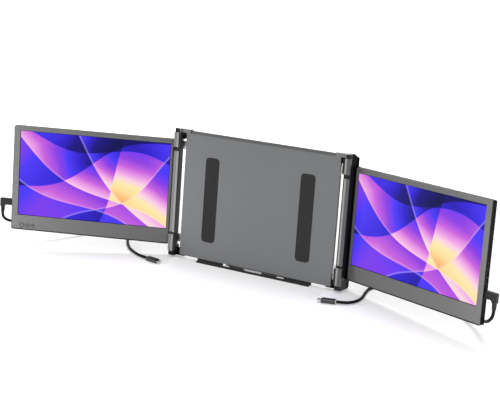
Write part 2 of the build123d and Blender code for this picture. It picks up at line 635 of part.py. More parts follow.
for side, sign in sides.items():
    screen = screens[side]
    # Bezel: the flat grey front frame, with key holes on the left screen
    with BuildPart(screen) as bezel:
        rounded_slab(screen, sign, screen_span, screen_height, (bezel_back, screen_front), screen_corner)
        block(sign, display_span, display_rise, (bezel_back, screen_front), Mode.SUBTRACT)
        if side == "left":
            for key, radius in key_radius.items():
                place = (sign * (screen_outer - key_from_edge[key]), key_v)
                post(place, radius + key_gap, (bezel_back, screen_front), Mode.SUBTRACT)
    bezel.part.label = f"{side}_bezel"
    export_step(bezel.part, f"parts/{side}_bezel.step")

    # LCD panel behind the bezel's window
    with BuildPart(screen) as lcd_panel:
        block(sign, panel_span, panel_rise, (lcd_back, bezel_back))
    lcd_panel.part.label = f"{side}_lcd_panel"
    export_step(lcd_panel.part, f"parts/{side}_lcd_panel.step")

    # Backlight: light guide and films behind the LCD
    with BuildPart(screen) as backlight:
        block(sign, panel_span, panel_rise, (backlight_back, lcd_back))
    backlight.part.label = f"{side}_backlight"
    export_step(backlight.part, f"parts/{side}_backlight.step")

    # Driver board with its chips, and the key switches on the left screen
    board_span = (screen_outer - board_length, screen_outer - cover_side - 1.0)
    board_rise = (display_rise[0] + 2.0, port_v[-1] + 14.0)
    chip_top = board_top + 0.9
    with BuildPart(screen) as driver_board:
        block(sign, board_span, board_rise, (floor_top, board_top))
        for chip_along, chip_up, chip_size in ((22.0, 24.0, 14.0), (50.0, 50.0, 10.0), (46.0, 20.0, 8.0)):
            chip_s = board_span[0] + chip_along
            chip_v = board_rise[0] + chip_up
            chip_span = (chip_s - chip_size / 2, chip_s + chip_size / 2)
            chip_rise = (chip_v - chip_size / 2, chip_v + chip_size / 2)
            block(sign, chip_span, chip_rise, (board_top, chip_top))
        if side == "left":
            first_key = screen_outer - key_from_edge["power"]
            last_key = screen_outer - key_from_edge["down"]
            key_span = (last_key - 7.0, first_key + 4.5)
            block(sign, key_span, (key_v - 4.0, board_rise[0]), (floor_top, board_top))
            switch_top = screen_front + key_proud - 3.0 - key_travel - 0.1
            for key in key_radius:
                key_s = screen_outer - key_from_edge[key]
                switch_span = (key_s - 2.0, key_s + 2.0)
                block(sign, switch_span, (key_v - 2.0, key_v + 2.0), (board_top, switch_top))
    driver_board.part.label = f"{side}_driver_board"
    export_step(driver_board.part, f"parts/{side}_driver_board.step")

    # Port shells: three metal sockets on the outer edge
    shell_span = (screen_outer - cover_side - port_depth, screen_outer - 0.7)
    with BuildPart(screen) as port_shells:
        for v, width in zip(port_v, port_widths):
            rise = (v - width / 2, v + width / 2)
            block(sign, shell_span, rise, (port_low, port_low + port_opening))
            hollow_span = (shell_span[0] + 0.5, shell_span[1])
            hollow_rise = (rise[0] + port_wall, rise[1] - port_wall)
            hollow_depth = (port_low + port_wall, port_low + port_opening - port_wall)
            block(sign, hollow_span, hollow_rise, hollow_depth, Mode.SUBTRACT)
    port_shells.part.label = f"{side}_port_shells"
    export_step(port_shells.part, f"parts/{side}_port_shells.step")

    # Screen rear cover: the black tray with ribs, corner bosses, the leaf's slot and the port openings
    with BuildPart(screen) as screen_cover:
        rounded_slab(screen, sign, screen_span, screen_height, (screen_back, bezel_back), screen_corner)
        rear_face = screen_cover.faces().sort_by(Axis(screen.origin, screen.z_dir))[0]
        chamfer(rear_face.edges(), cover_side / 2)
        inside_span = (screen_inner + cover_side, screen_outer - cover_side)
        inside_rise = (screen_bottom + cover_side, screen_top - cover_side)
        block(sign, inside_span, inside_rise, (floor_top, bezel_back), Mode.SUBTRACT)
        for share in (0.2, 0.6):
            rib_s = display_span[0] + display_width * share
            rib_rise = (display_rise[0] + 2 * rib, display_rise[1] - 2 * rib)
            block(sign, (rib_s - 1.0, rib_s + 1.0), rib_rise, (floor_top, backlight_back))
        for boss_s, boss_v in corner_bosses:
            post((sign * boss_s, boss_v), boss_radius, (floor_top, bezel_back))
        leaf_slot = (leaf_span[0] - fit_gap, leaf_span[1] + fit_gap)
        slot_through = (screen_inner - 1.0, screen_inner + cover_side)
        block(sign, slot_through, leaf_slot, (floor_top, leaf_top + fit_gap), Mode.SUBTRACT)
        for v, width in zip(port_v, port_widths):
            opening_span = (screen_outer - cover_side, screen_outer + 1.0)
            opening_rise = (v - width / 2 - fit_gap, v + width / 2 + fit_gap)
            opening_depth = (port_low - fit_gap, port_low + port_opening + fit_gap)
            block(sign, opening_span, opening_rise, opening_depth, Mode.SUBTRACT)
        for screw_s, screw_v in leaf_screws + corner_bosses:
            place = (sign * screw_s, screw_v)
            head_depth = (screen_back, screen_back + screw_head_depth)
            post(place, screw_head_radius + fit_gap, head_depth, Mode.SUBTRACT)
            post(place, screw_shank_radius + fit_gap, (screen_back, lcd_back), Mode.SUBTRACT)
    screen_cover.part.label = f"{side}_rear_cover"
    export_step(screen_cover.part, f"parts/{side}_rear_cover.step")

    # Hinge barrel: the black tube on the hinge line, with a web to the cover and a leaf inside it
    with BuildPart(screen) as hinge_barrel:
        upright((0, 0), barrel_radius, screen_height)
        web_front = 3.0
        block(sign, (0, screen_inner), screen_height, (screen_back, web_front))
        block(sign, (0, leaf_reach), leaf_span, (floor_top, leaf_top))
        upright((0, 0), barrel_bore, screen_height, Mode.SUBTRACT)
        for screw_s, screw_v in leaf_screws:
            screw_place = (sign * screw_s, screw_v)
            post(screw_place, screw_shank_radius + fit_gap, (floor_top, leaf_top), Mode.SUBTRACT)
    hinge_barrel.part.label = f"{side}_hinge_barrel"
    export_step(hinge_barrel.part, f"parts/{side}_hinge_barrel.step")

    # Hinge bushes: friction bushes in the barrel's ends
    with BuildPart(screen) as hinge_bushes:
        for rise in ((screen_bottom, screen_bottom + bush_length), (screen_top - bush_length, screen_top)):
            upright((0, 0), barrel_bore - fit_gap, rise)
            upright((0, 0), hinge_pin_radius + fit_gap, rise, Mode.SUBTRACT)
    hinge_bushes.part.label = f"{side}_hinge_bushes"
    export_step(hinge_bushes.part, f"parts/{side}_hinge_bushes.step")

    # Screen screws: through the cover into the leaf and the corner bosses
    with BuildPart(screen) as screen_screws:
        for screw_s, screw_v in leaf_screws + corner_bosses:
            place = (sign * screw_s, screw_v)
            tip = leaf_top - screw_reach if (screw_s, screw_v) in leaf_screws else lcd_back
            post(place, screw_head_radius, (screen_back, screen_back + screw_head_depth))
            post(place, screw_shank_radius, (screen_back, tip))
    screen_screws.part.label = f"{side}_screen_screws"
    export_step(screen_screws.part, f"parts/{side}_screen_screws.step")

    # Angled plug: a moulded body that leaves the port outward and turns down into its strain relief
    plug_length, plug_width, plug_thick = angled_plug
    plug_start = screen_outer + 0.2
    plug_end = plug_start + plug_length
    plug_v = port_v[0]
    leg_middle = plug_end - angled_leg / 2
    leg_bottom = plug_v - plug_width / 2 - angled_drop + relief_length
    relief_end = leg_bottom - relief_length
    plug_depth = (port_middle - plug_thick / 2, port_middle + plug_thick / 2)
    with BuildPart(screen) as angled_body:
        block(sign, (plug_start, plug_end), (plug_v - plug_width / 2, plug_v + plug_width / 2), plug_depth)
        block(sign, (plug_end - angled_leg, plug_end), (leg_bottom, plug_v), plug_depth)
        fillet(angled_body.edges().filter_by(Axis(screen.origin, screen.z_dir)), angled_round)
        with Locations((sign * leg_middle, (leg_bottom + relief_end) / 2, port_middle)):
            Cone(cable_radius + 0.4, relief_radius, relief_length, rotation=(-90, 0, 0))
        socket = Plane(
            origin=screen.from_local_coords((sign * plug_start, plug_v, port_middle)),
            x_dir=screen.y_dir,
            z_dir=screen.x_dir * -sign,
        )
        with BuildSketch(socket) as socket_outline:
            RectangleRounded(plug_tip[0], plug_tip[1], plug_tip[1] / 2 - 0.1)
        extrude(socket_outline.sketch, amount=plug_tip[2])
    angled_body.part.label = f"{side}_angled_plug"
    export_step(angled_body.part, f"parts/{side}_angled_plug.step")

    # Cable: from the relief down behind the screen, along the table and forward under the screen
    if side == "left":
        fall = [
            (0, 0, 0),
            (0, -6, 0),
            (-3, -11.8, -1.2),
            (-9.5, -16.2, -5),
            (-20.5, -18.2, -12),
            (-36, -20.5, -23.5),
            (-56, -26.2, -38.5),
        ]
    else:
        fall = [
            (0, 0, 0),
            (0, -6.5, 0),
            (-3.5, -13.5, -1.2),
            (-11, -19.6, -5),
            (-22, -25, -12),
            (-37, -28.2, -23.5),
            (-56, -31.5, -38.5),
        ]
    route = [
        screen.from_local_coords((sign * (leg_middle + along), relief_end + above, port_middle + ahead))
        for along, above, ahead in fall
    ]
    if side == "left":
        route += [
            (-392, -34, 19),
            (-376, -8, 9),
            (-358, 20, 4),
            (-338, 46, 2.7),
            (-313, 57, 2.7),
            (-292, 49, 2.7),
            (-279, 29, 2.7),
            (-262, 6.5, 2.7),
            (-246, -9, 2.7),
            (-229, -20, 2.9),
            (-207, -31.3, 3.8),
            (-190, -34, 3.8),
        ]
    else:
        route += [
            (386, 0, 16.5),
            (362, 23, 6.5),
            (334, 44, 2.9),
            (300, 60, 2.7),
            (264, 67, 2.7),
            (236, 66, 2.7),
            (214, 56, 2.7),
            (201.5, 38, 2.7),
            (204, 18, 2.7),
            (208.3, 2, 2.7),
            (210.5, -14, 2.8),
            (207, -28, 3.4),
            (198, -38.5, 3.8),
            (184, -41.5, 3.8),
        ]
    route = [Vector(point) for point in route]
    runs = [b - a for a, b in zip(route, route[1:])]
    radii = []
    for before, after in zip(runs, runs[1:]):
        turn = radians(before.get_angle(after))
        radii.append(0.45 * min(before.length, after.length) / tan(turn / 2))
    with BuildPart() as cable:
        with BuildLine() as cable_line:
            FilletPolyline(*route, radius=radii)
        with BuildSketch(Plane(origin=route[0], z_dir=runs[0])):
            Circle(cable_radius)
        sweep(path=cable_line.wire())
    length = cable_line.wire().length
    share = cable.part.volume / (pi * cable_radius**2 * length)
    print(side, "cable length", round(length, 1), "volume share", round(share, 4))
    print(side, "cable radii", [round(radius, 1) for radius in radii])
    print(side, "cable start", [tuple(round(c, 2) for c in point) for point in route[:7]])
    cable.part.label = f"{side}_cable"
    export_step(cable.part, f"parts/{side}_cable.step")

    # Straight plug: a moulded body lying on the table, with a collar where the cable enters
    body_length, body_width, body_thick = straight_plug
    straight = Plane(origin=route[-1], x_dir=runs[-1].cross(Vector(0, 0, 1)), z_dir=runs[-1])
    with BuildPart(straight) as straight_body:
        with BuildSketch(straight.offset(plug_collar)) as body_outline:
            RectangleRounded(body_width, body_thick, straight_plug_round)
        extrude(body_outline.sketch, amount=body_length - plug_collar)
        with Locations((0, 0, plug_collar / 2)):
            Cylinder(collar_radius, plug_collar)
    straight_body.part.label = f"{side}_straight_plug"
    export_step(straight_body.part, f"parts/{side}_straight_plug.step")

    # Plug tip: the bare metal shell of the straight plug
    tip_width, tip_thick, tip_length = plug_tip
    with BuildPart() as straight_tip:
        with BuildSketch(straight.offset(body_length)) as tip_outline:
            RectangleRounded(tip_width, tip_thick, tip_thick / 2 - 0.1)
        extrude(tip_outline.sketch, amount=tip_length)
    straight_tip.part.label = f"{side}_plug_tip"
    export_step(straight_tip.part, f"parts/{side}_plug_tip.step")

# Keys: three round caps held behind the left bezel by their flanges
for key, radius in key_radius.items():
    screen = screens["left"]
    key_place = (-(screen_outer - key_from_edge[key]), key_v)
    key_bottom = screen_front + key_proud - 3.0
    with BuildPart(screen) as key_cap:
        post(key_place, radius, (key_bottom, screen_front + key_proud))
        post(key_place, radius + key_flange, (key_bottom, key_bottom + key_flange_thickness))
        key_face = key_cap.faces().sort_by(Axis(screen.origin, screen.z_dir))[-1]
        fillet(key_face.edges(), key_proud)
    key_cap.part.label = f"{key}_button"
    export_step(key_cap.part, f"parts/{key}_button.step")
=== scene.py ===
import math

import bmesh
import bpy
from mathutils import Matrix, Vector


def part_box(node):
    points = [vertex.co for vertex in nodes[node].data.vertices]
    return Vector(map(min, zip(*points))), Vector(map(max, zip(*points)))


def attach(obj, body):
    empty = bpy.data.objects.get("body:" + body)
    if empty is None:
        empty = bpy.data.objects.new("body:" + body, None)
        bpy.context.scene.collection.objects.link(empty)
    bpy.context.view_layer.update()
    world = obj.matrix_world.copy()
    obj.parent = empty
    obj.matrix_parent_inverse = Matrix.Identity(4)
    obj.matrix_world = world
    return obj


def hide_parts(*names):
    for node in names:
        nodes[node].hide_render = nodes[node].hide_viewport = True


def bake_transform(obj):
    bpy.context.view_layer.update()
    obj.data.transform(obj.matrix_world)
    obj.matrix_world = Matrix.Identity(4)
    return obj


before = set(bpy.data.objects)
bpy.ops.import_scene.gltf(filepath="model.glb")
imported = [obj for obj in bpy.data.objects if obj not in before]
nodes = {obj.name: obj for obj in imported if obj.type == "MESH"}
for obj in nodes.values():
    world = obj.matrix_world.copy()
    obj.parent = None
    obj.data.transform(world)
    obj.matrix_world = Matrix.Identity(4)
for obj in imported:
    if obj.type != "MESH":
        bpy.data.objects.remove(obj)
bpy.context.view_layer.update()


# Fixings of the bracket: turned steel guide pins, cover screws and a hinge pin for the stand, and
# pale acetal liners, pressed into the bracket's channels, that carry and brake the arms' tongues.
def feed(tree, socket, term):
    """Give a socket a plain value, or a link from another socket."""
    if isinstance(term, bpy.types.NodeSocket):
        tree.links.new(term, socket)
    else:
        socket.default_value = term


def placed(tree, kind, terms, **settings):
    """A new node with its settings made and its inputs fed."""
    node = tree.nodes.new(kind)
    for label, value in settings.items():
        setattr(node, label, value)
    for label, term in terms.items():
        feed(tree, node.inputs[label], term)
    return node


def reckon(tree, operation, *terms):
    """The value of a sum on sockets and plain numbers."""
    return placed(tree, "ShaderNodeMath", dict(enumerate(terms)), operation=operation).outputs["Value"]


def effect_group(name, inputs, outputs):
    """An empty node group with named sockets, what it is given and what it puts out."""
    group = bpy.data.node_groups.new(name, "ShaderNodeTree")
    for label, kind, value in inputs:
        socket = group.interface.new_socket(label, in_out="INPUT", socket_type="NodeSocket" + kind)
        socket.default_value = value
    for label, kind in outputs:
        group.interface.new_socket(label, in_out="OUTPUT", socket_type="NodeSocket" + kind)
    return group, group.nodes.new("NodeGroupInput").outputs, group.nodes.new("NodeGroupOutput").inputs


cloud_scale = 14
pebble_height = 0.0002
grain, given, put_out = effect_group(
    "moulded_grain",
    (
        ("Color", "Color", (0.1, 0.1, 0.1, 1)), ("Tone", "Float", 0.08), ("Roughness", "Float", 0.45),
        ("Scale", "Float", 1800.0), ("Depth", "Float", 0.06), ("Stretch", "Vector", (1, 1, 1)),
    ),
    (("Color", "Color"), ("Roughness", "Float"), ("Normal", "Vector")),
)
place = grain.nodes.new("ShaderNodeTexCoord").outputs["Object"]
drawn = placed(grain, "ShaderNodeVectorMath", {0: place, 1: given["Stretch"]}, operation="MULTIPLY")
pebble = placed(
    grain, "ShaderNodeTexNoise",
    {"Vector": drawn.outputs["Vector"], "Scale": given["Scale"], "Detail": 3},
)
cloud = placed(grain, "ShaderNodeTexNoise", {"Vector": place, "Scale": cloud_scale, "Detail": 4})
swing = reckon(grain, "SUBTRACT", cloud.outputs["Fac"], 0.5)
amount = reckon(grain, "MULTIPLY_ADD", swing, given["Tone"], 1.0)
tint = placed(grain, "ShaderNodeVectorMath", {0: given["Color"], "Scale": amount}, operation="SCALE")
bump = placed(
    grain, "ShaderNodeBump",
    {"Height": pebble.outputs["Fac"], "Strength": given["Depth"], "Distance": pebble_height},
)
feed(grain, put_out["Color"], tint.outputs["Vector"])
feed(grain, put_out["Roughness"], reckon(grain, "MULTIPLY", given["Roughness"], amount))
feed(grain, put_out["Normal"], bump.outputs["Normal"])


def moulded(
    name, color, roughness, tone=0.08, scale=1800, depth=0.06, metallic=0.0, gloss=0.5, stretch=(1, 1, 1),
):
    """A material of one colour with the moulded grain on it."""
    made = bpy.data.materials.new(name)
    made.use_nodes = True
    tree = made.node_tree
    effect = placed(
        tree, "ShaderNodeGroup",
        {
            "Color": (*color, 1), "Tone": tone, "Roughness": roughness,
            "Scale": scale, "Depth": depth, "Stretch": stretch,
        },
        node_tree=grain,
    )
    skin = tree.nodes["Principled BSDF"].inputs
    skin["Metallic"].default_value = metallic
    skin["Specular IOR Level"].default_value = gloss
    feed(tree, skin["Base Color"], effect.outputs["Color"])
    feed(tree, skin["Roughness"], effect.outputs["Roughness"])
    feed(tree, skin["Normal"], effect.outputs["Normal"])
    return made


def dress(material, *names):
    """Give CAD nodes one material."""
    for name in names:
        nodes[name].data.materials.clear()
        nodes[name].data.materials.append(material)


brushed_sideways = (0.03, 1, 1)
steel = moulded("plain_steel", (0.52, 0.52, 0.53), 0.3, metallic=1.0, depth=0.1, stretch=brushed_sideways)
dress(steel, "guide_pins", "cover_screws", "stand_hinge_pin")
acetal = moulded("acetal", (0.78, 0.78, 0.76), 0.4, depth=0.03)
dress(acetal, "slide_liners")

# Front plate and rear cover: a sheet of dark anodised aluminium, brushed sideways and with a darker
# margin along its top, screwed to a ribbed black moulding with a painted highlight along its upper edge.
rim_softness = 0.0003
rim, given, put_out = effect_group(
    "coloured_rim",
    (
        ("Vector", "Vector", (0, 0, 0)), ("Limit", "Vector", (0, 0, 0)),
        ("Color", "Color", (0.2, 0.2, 0.2, 1)), ("Rim", "Color", (0.02, 0.02, 0.02, 1)),
    ),
    (("Color", "Color"),),
)
distance = placed(rim, "ShaderNodeVectorMath", {0: given["Vector"]}, operation="ABSOLUTE")
beyond = placed(
    rim, "ShaderNodeVectorMath", {0: distance.outputs["Vector"], 1: given["Limit"]}, operation="SUBTRACT",
)
each_way = placed(rim, "ShaderNodeSeparateXYZ", {"Vector": beyond.outputs["Vector"]}).outputs
furthest = reckon(rim, "MAXIMUM", each_way["X"], each_way["Y"])
edge = placed(rim, "ShaderNodeMapRange", {"Value": furthest, "From Max": rim_softness})
lined = placed(
    rim, "ShaderNodeMix",
    {"Factor": edge.outputs["Result"], "A": given["Color"], "B": given["Rim"]}, data_type="RGBA",
)
feed(rim, put_out["Color"], lined.outputs["Result"])


def edged(name, coat, middle, axes, limit, edge_color):
    """A coat that takes another colour past a limit on each side of a middle place."""
    made = coat.copy()
    made.name = name
    tree = made.node_tree
    centred = placed(
        tree, "ShaderNodeMapping",
        {
            "Vector": tree.nodes.new("ShaderNodeTexCoord").outputs["Object"],
            "Location": middle,
            "Rotation": Matrix(axes).transposed().to_euler(),
        },
        vector_type="TEXTURE",
    )
    base = tree.nodes["Principled BSDF"].inputs["Base Color"]
    lined = placed(
        tree, "ShaderNodeGroup",
        {
            "Vector": centred.outputs["Vector"], "Limit": limit,
            "Color": base.links[0].from_socket, "Rim": (*edge_color, 1),
        },
        node_tree=rim,
    )
    feed(tree, base, lined.outputs["Color"])
    return made


lean = math.radians(9)
side_axis = Vector((1, 0, 0))
bracket_up = Vector((0, math.sin(lean), math.cos(lean)))
bracket_out = Vector((0, -math.cos(lean), math.sin(lean)))
bracket_axes = (side_axis, bracket_up, bracket_out)
bracket_origin = Vector((0, -0.002505, 0.004))


def rise_of(name):
    """How far up the leaning bracket a CAD node reaches."""
    return max((vertex.co - bracket_origin).dot(bracket_up) for vertex in nodes[name].data.vertices)


no_limit = 1.0
sheet_metal = moulded(
    "anodised_sheet", (0.17, 0.175, 0.18), 0.38, scale=900, depth=0.22, metallic=0.6,
    stretch=brushed_sideways,
)
plate_margin = 0.0054
plate_clear = (rise_of("centre_front_plate") - plate_margin) / 2
margined_sheet = edged(
    "margined_sheet", sheet_metal, bracket_origin + bracket_up * plate_clear, bracket_axes,
    (no_limit, plate_clear, no_limit), (0.105, 0.106, 0.107),
)
dress(margined_sheet, "centre_front_plate")
black_cover = moulded("black_cover", (0.028, 0.028, 0.03), 0.48, depth=0.1)
# Painted highlight: a pale line along the cover's upper edge stands for light on its top face.
top_highlight_depth = 0.0004
painted_top_highlight = (0.85, 0.85, 0.83)
top_highlit_cover = edged(
    "top_highlit_cover", black_cover, bracket_origin, bracket_axes,
    (no_limit, rise_of("centre_rear_cover") - top_highlight_depth, no_limit), painted_top_highlight,
)
dress(top_highlit_cover, "centre_rear_cover")

# Pads and foot: soft black rubber, moulded with a coarse matt skin and glued on where the bracket
# grips and where it bears on the table.
soft_rubber = moulded("soft_rubber", (0.022, 0.022, 0.022), 0.75, scale=900, depth=0.12, gloss=0.3)
dress(soft_rubber, "lid_grip_pads", "table_foot", "stand_foot_pads")

# Stand foot: a plate of black coated steel, rolled into a knuckle round its pin, that swings out
# behind the bracket.
coated_steel = moulded("coated_steel", (0.045, 0.045, 0.05), 0.5, scale=1500, depth=0.12)
dress(coated_steel, "stand_foot")

# Arms: black coated channels with satin grey sleeves at the top and a painted highlight along their upper
# edges. Pale satin strips and claws are fixed along their inner edges, each with a painted highlight on its
# inner band and painted shade on the rest, darker on the right arm. Black hinge blocks are screwed to their
# ends, the upper blocks and barrels painted darker than the lower ones as painted shade, and steel tongues
# run into the bracket.
arm_black = (0.01, 0.01, 0.011)
sleeve_satin = moulded("sleeve_satin", (0.2, 0.2, 0.195), 0.2, depth=0.04, gloss=0.25)
pale_satin = moulded("pale_satin", (0.33, 0.33, 0.32), 0.36, tone=0.05, depth=0.05, gloss=0.3)
# Painted shade: the hinge blocks' black comes in two copies, lighter for the lower blocks as lit and darker
# for the upper blocks and barrels as shaded.
lit_block_coat = moulded("lit_block_coat", (0.018, 0.018, 0.019), 0.5, depth=0.08, gloss=0.15)
shaded_block_black = moulded("shaded_block_black", (0.006, 0.006, 0.0065), 0.6, depth=0.08, gloss=0.03)
strip_highlight_half = 0.0017
sleeve_leg = 0.0068
# Painted highlight and shade: each strip's inner band is pale as light on its rounded edge, and the rest is
# painted darker as shade, more so on the right arm.
for side, sign, strip_shade in (("left", -1, (0.2, 0.2, 0.195)), ("right", 1, (0.1, 0.1, 0.097))):
    strip_low, strip_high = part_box(side + "_rail_trim")
    frame_low, frame_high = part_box(side + "_arm_frame")
    strip_inner = strip_low[0] if sign > 0 else strip_high[0]
    frame_inner = frame_low[0] if sign > 0 else frame_high[0]
    highlit_strip = edged(
        side + "_highlit_strip", pale_satin, side_axis * (strip_inner + sign * strip_highlight_half), bracket_axes,
        (strip_highlight_half, no_limit, no_limit), strip_shade,
    )
    arm_top = rise_of(side + "_arm_frame")
    sleeve_middle = bracket_origin + bracket_up * (arm_top - sleeve_leg / 2)
    sleeve_middle.x = (frame_inner + strip_inner) / 2
    sleeve_half = abs(strip_inner - frame_inner) / 2
    sleeved = edged(
        side + "_sleeved", sleeve_satin, sleeve_middle, bracket_axes,
        (sleeve_half, sleeve_leg / 2, no_limit), arm_black,
    )
    # Painted highlight: a pale line along each arm's upper edge stands for light on its top face.
    arm_coat = edged(
        side + "_arm_coat", sleeved, bracket_origin, bracket_axes,
        (no_limit, arm_top - top_highlight_depth, no_limit), painted_top_highlight,
    )
    dress(arm_coat, side + "_arm_frame")
    dress(highlit_strip, side + "_rail_trim", side + "_upper_claw", side + "_lower_claw")
    # Painted shade: upper blocks and barrels take the darker copy, lower blocks the lighter one.
    dress(shaded_block_black, side + "_upper_hinge_block", side + "_hinge_barrel")
    dress(lit_block_coat, side + "_lower_hinge_block")
    dress(soft_rubber, side + "_claw_pads")
    dress(steel, side + "_slide_tongues", side + "_hinge_pins", side + "_arm_screws")

# Screen bodies: black moulded trays closed by a satin grey front frame, whose edge shows the black
# of the tray as a thin line, widened along the bottom as painted shade. The light guide, the driver
# board and the hinge bushes lie inside.
hinge_reach = 0.1667
screen_inner, screen_outer, screen_bottom, screen_top = 0.009, 0.2906, 0.0175, 0.201
screens = {}
for side, sign, fold_angle, hinge_depth in (("left", -1, 24.2, -0.0144), ("right", 1, 20.0, -0.0245)):
    turn = math.radians(fold_angle)
    along = side_axis * math.cos(turn) + bracket_out * (sign * math.sin(turn))
    out = bracket_out * math.cos(turn) - side_axis * (sign * math.sin(turn))
    hinge = bracket_origin + bracket_out * hinge_depth + side_axis * (sign * hinge_reach)
    screens[side] = (sign, along, out, hinge)

film_white = moulded("film_white", (0.85, 0.85, 0.85), 0.5, depth=0.02)
board_green = moulded("board_green", (0.03, 0.18, 0.09), 0.35, tone=0.2)
frame_grey = moulded(
    "frame_grey", (0.154, 0.153, 0.151), 0.32, tone=0.06, scale=2600, depth=0.03, gloss=0.12,
)
tray_black = moulded("tray_black", (0.024, 0.024, 0.026), 0.3, depth=0.05, gloss=0.04)
edge_black = (0.0045, 0.0045, 0.0048)
screen_half_width, screen_half_height = (screen_outer - screen_inner) / 2, (screen_top - screen_bottom) / 2
frame_line, tray_line, lower_shade_shift = 0.0008, 0.002, 0.0013
for side, (sign, along, out, hinge) in screens.items():
    middle_out = sign * (screen_inner + screen_outer) / 2
    # Painted shade: the dark edge line of both coats is shifted up, so it runs wider along the bottom edge.
    middle_up = (screen_bottom + screen_top) / 2 + lower_shade_shift
    middle = hinge + along * middle_out + bracket_up * middle_up
    for node, coat, line in (("_bezel", frame_grey, frame_line), ("_rear_cover", tray_black, tray_line)):
        lined_coat = edged(
            side + node + "_coat", coat, middle, (along, bracket_up, out),
            (screen_half_width - line, screen_half_height - line, no_limit), edge_black,
        )
        dress(lined_coat, side + node)
    dress(film_white, side + "_backlight")
    dress(board_green, side + "_driver_board")
    dress(acetal, side + "_hinge_bushes")
    dress(steel, side + "_screen_screws")

# Displays: lit liquid crystal panels under clear glass, bonded behind the frames. The picture is a
# plain one of crossing silky folds, from deep blue through violet and pink to a pale yellow glow.
turning_point = (0.89, 0.5, 0)
crest_softness = 0.014
edge_reach = 0.03
fold, given, put_out = effect_group(
    "silky_fold",
    (
        ("Vector", "Vector", (0, 0, 0)), ("Turn", "Float", 0), ("Height", "Float", 0), ("Swing", "Float", 0),
        ("Waves", "Float", 0), ("Shift", "Float", 0), ("Width", "Float", 0), ("Weight", "Float", 0),
    ),
    (("Value", "Float"), ("Edge", "Float")),
)
turned = placed(
    fold, "ShaderNodeVectorRotate",
    {"Vector": given["Vector"], "Center": turning_point, "Angle": given["Turn"]}, rotation_type="Z_AXIS",
)
spot = placed(fold, "ShaderNodeSeparateXYZ", {"Vector": turned.outputs["Vector"]}).outputs
wave = reckon(fold, "SINE", reckon(fold, "MULTIPLY_ADD", spot["X"], given["Waves"], given["Shift"]))
crest = reckon(fold, "MULTIPLY_ADD", wave, given["Swing"], given["Height"])
above = reckon(fold, "SUBTRACT", spot["Y"], crest)
crisp = placed(
    fold, "ShaderNodeMapRange", {"Value": above, "From Max": crest_softness}, interpolation_type="SMOOTHSTEP",
)
for label, reach, weight in (("Value", given["Width"], given["Weight"]), ("Edge", edge_reach, 1.0)):
    decay = placed(
        fold, "ShaderNodeMapRange", {"Value": above, "From Max": reach, "To Min": 1.0, "To Max": 0.0},
    )
    share = reckon(fold, "MULTIPLY", crisp.outputs["Result"], decay.outputs["Result"])
    feed(fold, put_out[label], reckon(fold, "MULTIPLY", share, weight))

display_width, display_height, display_bottom = 0.2657, 0.1495, 0.0436
display_inner = 0.014
black_border = 0.0009
picture_ground = 0.34
edge_glow = 0.35
silk_folds = (
    (25, 0.12, 0.10, 3.0, 0.4, 0.55, 0.28), (30, 0.40, 0.12, 2.6, 1.6, 0.55, 0.38),
    (-20, 0.66, 0.10, 3.4, 0.2, 0.50, -0.36), (48, 0.66, 0.09, 2.6, 2.9, 0.55, 0.38),
    (-62, 0.30, 0.12, 2.8, 1.1, 0.70, -0.28), (8, 0.84, 0.08, 4.0, 0.0, 0.45, -0.32),
    (-35, 0.18, 0.10, 3.6, 2.4, 0.50, 0.22),
)
silk_colours = (
    (-0.35, (0.004, 0.003, 0.08)), (0.0, (0.012, 0.006, 0.22)), (0.16, (0.03, 0.015, 0.62)),
    (0.34, (0.07, 0.04, 0.95)), (0.48, (0.27, 0.05, 0.78)), (0.62, (0.58, 0.12, 0.74)),
    (0.75, (0.87, 0.36, 0.80)), (0.87, (0.97, 0.66, 0.78)), (1.0, (1.0, 0.82, 0.42)),
    (1.18, (1.0, 0.74, 0.32)), (1.45, (1.0, 0.4, 0.13)),
)
darkest, brightest = silk_colours[0][0], silk_colours[-1][0]
